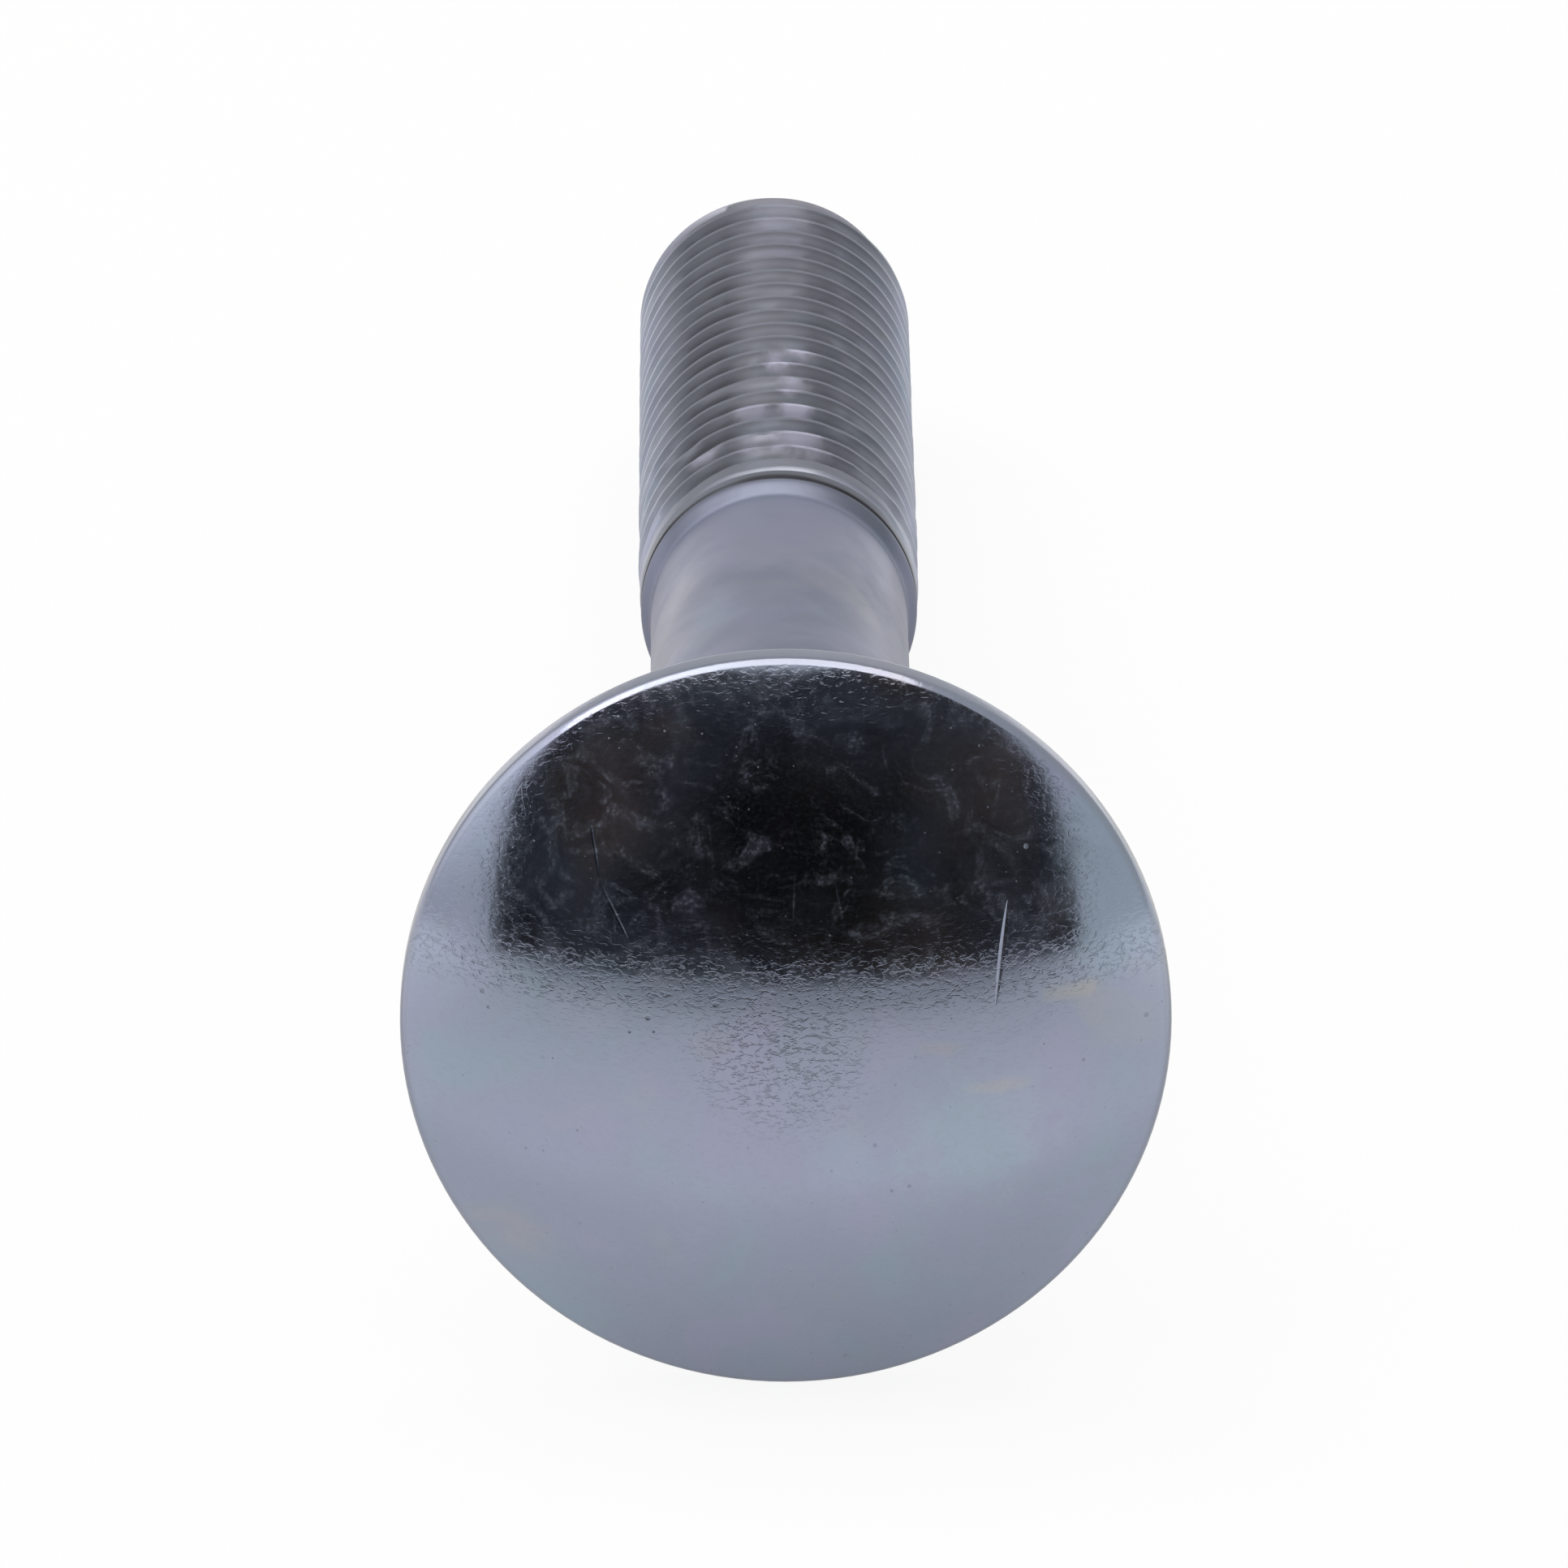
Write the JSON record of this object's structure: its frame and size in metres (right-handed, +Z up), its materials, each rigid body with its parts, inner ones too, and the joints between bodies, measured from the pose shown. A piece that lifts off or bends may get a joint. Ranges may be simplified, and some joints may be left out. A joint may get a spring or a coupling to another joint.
{
  "type": "carriage bolt",
  "caption": "Carriage bolt with a low domed round head, a square neck that stops it turning, a plain shank and a threaded end, in bright zinc-plated steel.",
  "frame": {"origin": "on the surface that the bolt lies on, below the middle of its box", "axes": "+Z up; the head faces -Y and the threaded end is at +Y. The bolt lies on its head's rim and the last full crest of its thread, so its axis falls 5.9 degrees from the head to the threaded end."},
  "size_m": [0.0202, 0.0646, 0.0201],
  "materials": {
    "zinc_plate": "bright blue-white zinc plate, smooth and mirror-like on the head, duller on the shank and the thread"
  },
  "bodies": {
    "root": {"carriage_bolt": "zinc_plate"}
  },
  "joints": []
}
